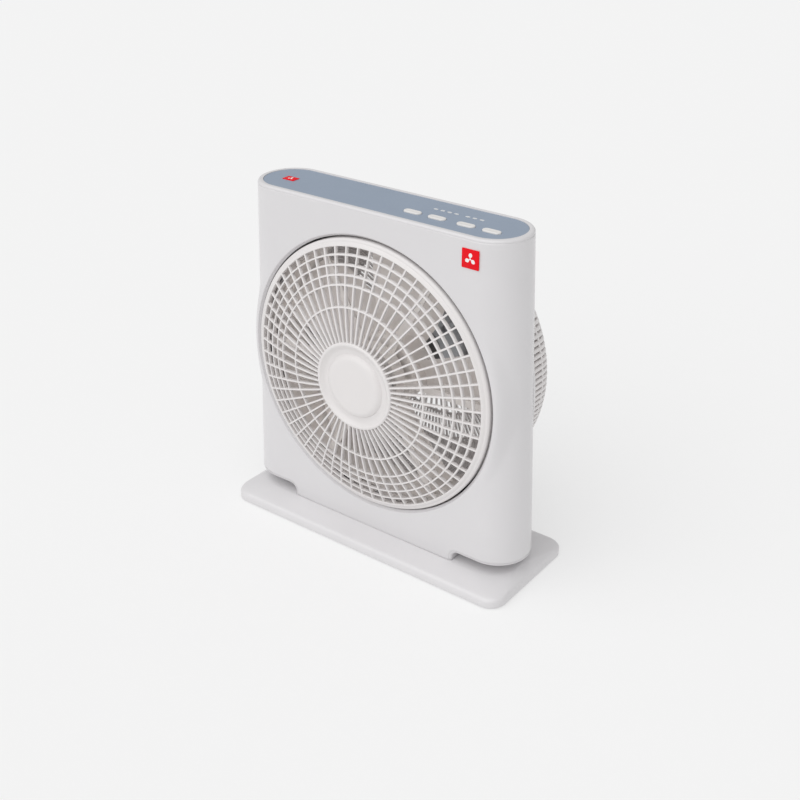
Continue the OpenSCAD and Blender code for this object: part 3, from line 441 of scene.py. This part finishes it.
def stand():
    """The flat base, whose top rises in a gentle curve to the seat of the body."""
    half_w, half_d = (BASE_HI.x - BASE_LO.x) / 2, (BASE_HI.y - BASE_LO.y) / 2
    mid_y, corner_r = (BASE_HI.y + BASE_LO.y) / 2, 20 * MM
    side_z, wall = BASE_LO.z + 7.6 * MM, 2.6 * MM
    n_arc, n_long, n_short = 16, 48, 12

    def rounded(hw, hd, r, cy):
        """Round rectangle, anticlockwise from the lower right corner's start."""
        found = []
        for cx, sy, start in ((1, -1, -90), (1, 1, 0), (-1, 1, 90), (-1, -1, 180)):
            centre = (cx * (hw - r), cy + sy * (hd - r))
            found.append(arc(*centre, r, start, start + 90, n_arc))
        loop = []
        for i, corner in enumerate(found):
            following = found[(i + 1) % 4][0]
            n = n_short if i % 2 == 0 else n_long
            loop += corner
            loop += [(corner[-1][0] + (following[0] - corner[-1][0]) * k / n,
                      corner[-1][1] + (following[1] - corner[-1][1]) * k / n) for k in range(1, n)]
        return loop

    seat = rounded(END_X + BODY_HALF, BODY_HALF, BODY_HALF - 0.5 * MM, MID_Y)

    def ring(inset, share, z):
        """The base's outline, drawn in by inset, blended by share into the body's outline."""
        outer = rounded(half_w - inset, half_d - inset, max(corner_r - inset, MM), mid_y)
        return [Vector((x0 + (x1 - x0) * share, y0 + (y1 - y0) * share, z))
                for (x0, y0), (x1, y1) in zip(outer, seat)]

    def crown(share):
        rise = SEAT_Z - side_z
        shoulder = 0.26 * rise
        return side_z + shoulder * (1 - math.exp(-share / 0.045)) + (rise - shoulder) * share

    shares = [0, 0.008, 0.02, 0.04, 0.07, 0.11, 0.17, 0.25, 0.35, 0.46, 0.58, 0.7, 0.82, 0.92, 1]
    foot = BASE_LO.z
    rows = [ring(wall, 0, crown(0.05) - wall), ring(wall, 0, foot + 0.5 * MM), ring(wall - 0.5 * MM, 0, foot)]
    rows += [ring(0.7 * MM, 0, foot), ring(0.2 * MM, 0, foot + 0.2 * MM), ring(0, 0, foot + 0.7 * MM)]
    rows += [ring(0, s, crown(s)) for s in shares]
    inner = [ring(wall * (1 - s), s, crown(s) - wall) for s in shares[4:]][::-1]
    build = Build()
    build.grid(rows, close_u=True, cap_last=True)
    build.grid(inner, close_u=True, cap_first=True)
    piece("stand_base", build.verts, build.faces, "shell_white", "housing", sharp=50,
          replaces=["base_plate"])


def upright_ring(build, x, y, z0, z1, r_in, r_out, segments=40):
    """A tube, or a rod where r_in is 0, standing on end."""
    if r_in > 0:
        profile = [(r_in, z0), (r_out, z0), (r_out, z1), (r_in, z1)]
    else:
        profile = [(r_out, z0), (r_out, z1)]
    angles = [2 * math.pi * i / segments for i in range(segments)]
    rows = [[Vector((x + r * math.cos(a), y + r * math.sin(a), z)) for a in angles]
            for r, z in profile]
    build.grid(rows, close_u=True, close_v=r_in > 0, cap_first=r_in <= 0, cap_last=r_in <= 0)


def stand_underside():
    """Bosses for the feet and the screws, and cross ribs, below the base."""
    build = Build()
    foot_lo, foot_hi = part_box("rubber_feet")
    screw_lo, screw_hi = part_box("base_screws")
    inset = 7 * MM
    for x in (foot_lo.x + inset, foot_hi.x - inset):
        for y in (foot_lo.y + inset, foot_hi.y - inset):
            upright_ring(build, x, y, foot_hi.z, foot_hi.z + 7 * MM, 0, 8 * MM)
    head = 3.1 * MM
    for x in (screw_lo.x + head, screw_hi.x - head):
        for y in (screw_lo.y + head, screw_hi.y - head):
            upright_ring(build, x, y, SEAT_Z - 7 * MM, SEAT_Z - 2.4 * MM, 3.7 * MM, 7 * MM)
    for x in (-128, -64, 0, 64, 128):
        half = 1.1 * MM
        lo_y, hi_y = BASE_LO.y + 10 * MM, BASE_HI.y - 10 * MM
        low, high = BASE_LO.z + 1.5 * MM, BASE_LO.z + 8 * MM
        left, right = x * MM - half, x * MM + half
        loop = [(left, lo_y), (right, lo_y), (right, hi_y), (left, hi_y)]
        build.grid([[Vector((px, py, z)) for px, py in loop] for z in (low, high)],
                   close_u=True, cap_first=True, cap_last=True)
    piece("stand_bosses", build.verts, build.faces, "shell_white", "housing")


# ---- louvre grille ----

RIM_IN = 150 * MM
RIM_OUT = 4.2 * MM
DOME_OUT = 27.5 * MM
DOME_RISE = DOME_OUT - RIM_OUT
DOME_R = (RIM_IN ** 2 + DOME_RISE ** 2) / (2 * DOME_RISE)
SPOKES = 60
HUB_R = 50.5 * MM
RING_RADII = [r * MM for r in (141.8, 131.6, 121.4, 111.2, 88.0)]
RIB_W = 2.0 * MM
RIB_DEPTH = 4.0 * MM


def dome_y(r):
    """Front of the dome, at a distance from the axis."""
    return FACE_Y - DOME_OUT + DOME_R - math.sqrt(DOME_R ** 2 - r ** 2)


def grille_ribs():
    build = Build()
    section = rib_section(RIB_W, RIB_DEPTH, 0.7 * MM)
    stations = 20
    first, last = HUB_R - 2 * MM, RIM_IN + 1.2 * MM
    radii = [first + (last - first) * i / stations for i in range(stations + 1)]
    path = [(r, dome_y(r)) for r in radii]
    for i in range(SPOKES):
        sweep_polar(build, section, path, math.radians((i + 0.5) * 360 / SPOKES))
    for r in RING_RADII:
        slope = math.atan(r / math.sqrt(DOME_R ** 2 - r ** 2))
        front_y = dome_y(r) + 0.05 * MM
        profile = [(r + w * math.cos(slope), front_y + w * math.sin(slope) + d) for w, d in section]
        build.lathe(profile, 240, flip=True)
    piece("louvre_ribs", build.verts, build.faces, "grille_white", "louvre",
          replaces=["louvre_grille"])


def grille_rim():
    back_y = GRILLE_HI.y
    inner_y = dome_y(RIM_IN)
    round_r = 3.5 * MM
    front_y = FACE_Y - 1.6 * MM
    outer = arc(GRILLE_R - round_r, front_y + round_r, round_r, -90, 0, 8)
    profile = [(RIM_IN, inner_y + RIB_DEPTH + 1.5 * MM), (RIM_IN, inner_y + 1.1 * MM)]
    profile += arc(RIM_IN + 1.1 * MM, inner_y + 1.1 * MM, 1.1 * MM, 180, 255, 5)
    profile += [(RIM_IN + 3 * MM, inner_y + 0.75 * MM)]
    profile += outer
    profile += [(GRILLE_R, back_y), (GRILLE_R - 2.4 * MM, back_y), (GRILLE_R - 2.4 * MM, front_y + 4 * MM)]
    profile += [(RIM_IN + 2.2 * MM, inner_y + 3.4 * MM), (RIM_IN + 2.2 * MM, inner_y + RIB_DEPTH + 1.5 * MM)]
    build = Build()
    build.lathe(profile, 288, flip=False)
    piece("louvre_rim", build.verts, build.faces, "grille_white", "louvre")


def grille_hub():
    lip_y = CAP_LO.y + 1.2 * MM
    floor_y = CAP_HI.y
    lip_w = 4.5 * MM
    r = 1.9 * MM
    profile = [(HUB_R, floor_y + 2.5 * MM)]
    profile += arc(HUB_R - r, lip_y + r, r, 0, -90, 6)
    profile += arc(HUB_R - lip_w + r, lip_y + r, r, -90, -150, 4)
    dish = 5.2 * MM
    inner_r = HUB_R - lip_w - dish
    for i in range(1, 9):
        t = i / 8
        x = HUB_R - lip_w + 0.2 * MM - (dish + 0.2 * MM) * t
        profile.append((x, lip_y + 0.9 * MM + (floor_y - lip_y - 0.9 * MM) * math.sin(t * math.pi / 2)))
    profile += [(inner_r - 4 * MM, floor_y), (0, floor_y)]
    profile_back = [(0, floor_y + 2.5 * MM)]
    build = Build()
    build.lathe(profile_back + profile, 192, closed=False, flip=False)
    piece("louvre_hub", build.verts, build.faces, "grille_white", "louvre")


def cap():
    front_y, back_y, r_out = CAP_LO.y, CAP_HI.y, CAP_HI.x
    profile = [(0, back_y), (r_out, back_y)]
    rise, shoulder = back_y - front_y, 0.22
    for i in range(33):
        t = 1 - i / 33
        edge = 1 - max(0, (t - 1 + shoulder) / shoulder) ** 2.6
        profile.append((r_out * t, back_y - (rise - 0.9 * MM) * edge - 0.9 * MM * (1 - t * t)))
    profile.append((0, front_y))
    build = Build()
    build.lathe(profile, 160, closed=False, flip=True)
    piece("louvre_cap", build.verts, build.faces, "grille_white", "louvre", sharp=60,
          replaces=["hub_cap"])


# ---- fan ----

def blade_rows(angle, hub_r):
    """Sections of one blade, from the hub to the tip: cambered, swept and less pitched outwards."""
    mid_y = (BLADE_LO.y + BLADE_HI.y) / 2 + 0.5 * MM
    stations, across = 16, 14
    upper, lower = [], []
    for i in range(stations + 1):
        t = i / stations
        r = hub_r + (FAN_R - hub_r) * t
        chord = (52 + 34 * math.sin(min(t * 1.25, 1) * math.pi / 2)) * MM
        pitch = math.radians(33 - 9 * t)
        sweep = 0.16 * t ** 1.6
        tip = math.sqrt(max(0.0, 1 - max(0.0, (t - 0.82) / 0.18) ** 2 * 0.35))
        row_u, row_l = [], []
        for k in range(across + 1):
            s = k / across - 0.5
            along = s * chord * tip
            camber = 0.055 * chord * (1 - 4 * s * s)
            thick = 1.2 * MM * (1 - (2 * s) ** 4) + 0.25 * MM
            for row, sign in ((row_u, 1), (row_l, -1)):
                tangent = along * math.cos(pitch) - (camber + sign * thick) * math.sin(pitch)
                axial = along * math.sin(pitch) + (camber + sign * thick) * math.cos(pitch)
                a = angle + sweep - tangent / r
                row.append(Vector((r * math.cos(a), mid_y + axial, AXIS_Z + r * math.sin(a))))
        upper.append(row_u)
        lower.append(row_l)
    return [u + l[::-1] for u, l in zip(upper, lower)]


def rotor():
    build = Build()
    hub_r = 42 * MM
    front_y = FACE_Y + 27 * MM
    back_y = front_y + 34 * MM
    wall, r = 2.2 * MM, 4 * MM
    profile = [(hub_r - wall, back_y), (hub_r - wall, front_y + 2 * wall)]
    profile += [(9 * MM, front_y + 2 * wall), (9 * MM, front_y + 0.2 * MM), (12 * MM, front_y)]
    profile += arc(hub_r - r, front_y + r, r, -90, 0, 6)
    profile += [(hub_r, back_y)]
    build.lathe(profile, 128, flip=False)
    for i in range(5):
        blade = blade_rows(math.radians(-72 * i), hub_r - 1.5 * MM)
        build.grid(blade, close_u=True, cap_first=True, cap_last=True)
    piece("fan_rotor", build.verts, build.faces, "blade_plastic", "fan", sharp=50,
          replaces=["fan_blades"])


def nut():
    lo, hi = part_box("spinner_nut")
    front, back = lo.y, hi.y
    profile = [(0, back), (14 * MM, back), (14 * MM, back - 2.4 * MM)]
    profile += arc(12.6 * MM, back - 2.4 * MM, 1.4 * MM, 0, -90, 4)
    profile += [(9 * MM, back - 3.8 * MM)]
    profile += arc(6.5 * MM, front + 2.5 * MM, 2.5 * MM, 0, -90, 6) + [(0, front)]
    build = Build()
    build.lathe(profile, 96, closed=False, flip=True)
    for i in range(12):
        a = 2 * math.pi * i / 12
        section = rib_section(1.6 * MM, 3 * MM, 0.5 * MM)
        sweep_polar(build, section, [(9.6 * MM, back - 3.5 * MM), (9.6 * MM, front + 3 * MM)], a)
    piece("fan_nut", build.verts, build.faces, "blade_plastic", "fan", replaces=["spinner_nut"])


# ---- rear guard ----

def rear_guard():
    build = Build()
    back_y, base_y = GUARD_HI.y, GUARD_LO.y
    thick, round_r = 3 * MM, 30 * MM
    flat_r, corner_y = GUARD_R - round_r, back_y - round_r
    outer = [(GUARD_R, base_y + 1 * MM + (corner_y - base_y - 1 * MM) * i / 5) for i in range(6)]
    bend = arc(flat_r, corner_y, round_r, 0, 90, 14)[1:]
    plate_r = 54 * MM
    section = rib_section(2 * MM, thick, 0.8 * MM)
    side_section = rib_section(4.4 * MM, 6 * MM, 1.2 * MM)
    for i in range(144):
        inner_r = plate_r - 1 * MM if i % 2 == 0 else 97 * MM
        flat = [(flat_r + (inner_r - flat_r) * k / 8, back_y) for k in range(9)]
        sweep_polar(build, side_section, outer + bend, math.radians(i * 2.5))
        sweep_polar(build, section, flat, math.radians(i * 2.5))
    half, near, far = 1.2 * MM, 0.5 * MM, 2.6 * MM

    def hoop(lo_r, hi_r, lo_y, hi_y, segments):
        build.lathe([(lo_r, lo_y), (lo_r, hi_y), (hi_r, hi_y), (hi_r, lo_y)], segments)

    for r in (plate_r + 20 * MM, 96 * MM, flat_r - 2 * MM):
        hoop(r - half, r + half, back_y - far, back_y - near, 192)
    for y in (base_y + 13 * MM, corner_y):
        hoop(GUARD_R - far, GUARD_R - near, y - half, y + half, 256)
    to_bend = (round_r - 1.6 * MM) * math.sqrt(0.5)
    r, y = flat_r + to_bend, corner_y + to_bend
    hoop(r - half, r + half, y - half, y + half, 256)
    base_r = 150.5 * MM
    base = [(base_r, base_y + thick), (base_r, base_y), (GUARD_R, base_y), (GUARD_R, base_y + thick)]
    build.lathe(base, 256, flip=True)
    plate = [(0, back_y - thick), (plate_r, back_y - thick)]
    plate += arc(plate_r - 1.5 * MM, back_y - 1.5 * MM, 1.5 * MM, 0, 90, 5)
    for groove in (46 * MM, 41 * MM, 36 * MM):
        plate += [(groove + 0.8 * MM, back_y), (groove + 0.3 * MM, back_y - 0.6 * MM)]
        plate += [(groove - 0.3 * MM, back_y - 0.6 * MM), (groove - 0.8 * MM, back_y)]
    plate += [(20 * MM, back_y), (18.5 * MM, back_y - 0.8 * MM), (0, back_y - 0.8 * MM)]
    build.lathe(plate, 160, closed=False)
    piece("guard_bowl", build.verts, build.faces, "grille_white", "housing",
          replaces=["rear_guard"])


# ---- control panel ----

def pill_loop(cx, cy, length, width, n=14):
    """A stadium outline, anticlockwise."""
    half, r = (length - width) / 2, width / 2
    return [(cx + half + x, cy + y) for x, y in arc(0, 0, r, -90, 90, n)] + \
           [(cx - half + x, cy + y) for x, y in arc(0, 0, r, 90, 270, n)]


def key(name):
    """A push button with a rounded edge, a dished top, a flange and a peg."""
    node = f"{name}_button"
    lo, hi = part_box(node)
    cx, cy = (lo.x + hi.x) / 2, (lo.y + hi.y) / 2
    length, width, top = hi.x - lo.x - 2.6 * MM, hi.y - lo.y - 2.6 * MM, hi.z
    rows = []
    edge = 1.3 * MM
    heights = [(0, lo.z + 2.2 * MM), (0, top - edge)]
    for t in (0.3, 0.6, 0.9, 1.2, 1.45):
        heights.append((edge - edge * math.cos(t), top - edge + edge * math.sin(t)))
    heights += [(2.2 * MM, top - 0.03 * MM), (3.0 * MM, top - 0.16 * MM), (4.0 * MM, top - 0.24 * MM)]
    for inset, z in heights:
        loop = pill_loop(cx, cy, length - 2 * inset, width - 2 * inset)
        rows.append([Vector((x, y, z)) for x, y in loop])
    build = Build()
    build.grid(rows, close_u=True, cap_first=True, cap_last=True)
    flange = [[Vector((x, y, z)) for x, y in pill_loop(cx, cy, length + 2.6 * MM, width + 2.6 * MM)]
              for z in (lo.z + 2.2 * MM, lo.z + 3.4 * MM)]
    build.grid(flange, close_u=True, cap_first=True, cap_last=True)
    upright_ring(build, cx, cy, lo.z, lo.z + 2.3 * MM, 0, 2 * MM, 24)
    piece(f"{name}_key_cap", build.verts, build.faces, "button_white", f"{name}_key", sharp=50,
          replaces=[node])


def icon_loop(r_in, r_out, lean, points=10):
    """Outline of one blade of the generic fan icon, round the origin."""
    left, right = [], []
    for i in range(points + 1):
        t = i / points
        r = r_in + (r_out - r_in) * t
        left.append((r, lean * math.sin(t * math.pi) * 0.9 + 0.12))
        right.append((r, -0.55 * math.sin(t * math.pi * 0.9) - 0.12))
    return left + right[::-1]


def badge(name, node, flat_axis):
    """A plain red plate with a generic three-blade fan on it."""
    lo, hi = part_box(node)
    centre = (lo + hi) / 2
    if flat_axis == "y":
        half_u, half_v, front, back = (hi.x - lo.x) / 2, (hi.z - lo.z) / 2, lo.y, hi.y
        place = lambda u, v, w: Vector((centre.x + u, w, centre.z + v))
        out = -1
    else:
        half_u, half_v, front, back = (hi.x - lo.x) / 2, (hi.y - lo.y) / 2, hi.z, lo.z
        place = lambda u, v, w: Vector((centre.x + u, centre.y + v, w))
        out = 1
    corner = 0.7 * MM

    def loop(inset):
        found = []
        for sx, sy, start in ((1, -1, -90), (1, 1, 0), (-1, 1, 90), (-1, -1, 180)):
            r = corner
            found += arc(sx * (half_u - inset - r), sy * (half_v - inset - r), r, start, start + 90, 4)
        return found

    build = Build()
    steps = [(0, back), (0, front - out * 0.25 * MM)]
    steps += [(0.08 * MM, front - out * 0.08 * MM), (0.25 * MM, front)]
    rows = [[place(u, v, w) for u, v in loop(inset)] for inset, w in steps]
    build.grid(rows, close_u=True, cap_first=True, cap_last=True, flip=flat_axis == "y")
    piece(name, build.verts, build.faces, "badge_red", "housing", replaces=[node])
    mark = Build()
    size = min(half_u, half_v) * 0.62
    low, high = front - out * 0.05 * MM, front + out * 0.12 * MM
    for i in range(3):
        turn = math.radians(90 + 120 * i)
        flat = []
        for rr, lean in icon_loop(0.22, 1.0, 0.5):
            u = rr * math.cos(turn) - lean * math.sin(turn) * 0.55
            v = rr * math.sin(turn) + lean * math.cos(turn) * 0.55
            flat.append((u * size, v * size))
        mark.grid([[place(u, v, w) for u, v in flat] for w in (low, high)],
                  close_u=True, cap_last=True, flip=flat_axis != "y")
    ring = arc(0, 0, size * 0.17, 0, 342, 19)
    mark.grid([[place(u, v, w) for u, v in ring] for w in (low, high)],
              close_u=True, cap_last=True, flip=flat_axis == "y")
    piece(name + "_icon", mark.verts, mark.faces, "badge_red", "housing", material="icon_white")


# ---- the object ----

dress_cad_nodes()
shell_skin("front_casing", -1, "front_shell")
shell_skin("rear_casing", 1, "rear_shell")
stand()
stand_underside()
grille_ribs()
grille_rim()
grille_hub()
cap()
rotor()
nut()
rear_guard()
for key_name in ("louvre", "timer", "speed", "power"):
    key(key_name)
badge("front_badge", "front_emblem", "y")
badge("panel_badge", "top_emblem", "z")


# ---- floor, light and camera ----

def floor():
    bpy.ops.mesh.primitive_plane_add(size=40, location=(0, 0, 0))
    plane = bpy.context.object
    plane.name = "studio_floor"
    plane.data.materials.append(MATERIALS["floor"])


def soft_sun(name, toward, strength, spread):
    """A wide, far softbox that shines from a direction."""
    data = bpy.data.lights.new(name, "SUN")
    data.energy = strength
    data.angle = math.radians(spread)
    lamp = bpy.data.objects.new(name, data)
    lamp.rotation_euler = Vector(toward).to_track_quat("Z", "Y").to_euler()
    bpy.context.scene.collection.objects.link(lamp)


def studio():
    """Even light from all round and one very wide light from above the front."""
    scene = bpy.context.scene
    world = bpy.data.worlds.new("studio")
    scene.world = world
    world.use_nodes = True
    background = world.node_tree.nodes["Background"]
    background.inputs["Color"].default_value = (1.0, 1.0, 1.0, 1)
    background.inputs["Strength"].default_value = 0.52
    soft_sun("key_light", (-0.04, -0.56, 0.83), 1.65, 80)
    scene.view_settings.view_transform = "Standard"


def camera():
    data = bpy.data.cameras.new("photo_camera")
    data.sensor_width = 36
    data.lens = 53.3
    cam = bpy.data.objects.new("photo_camera", data)
    cam.location = (0.7223, MID_Y - 0.9355, 0.7984)
    cam.rotation_euler = (math.radians(90 - 28.0), 0, math.radians(37.11))
    bpy.context.scene.collection.objects.link(cam)
    bpy.context.scene.camera = cam


floor()
studio()
camera()
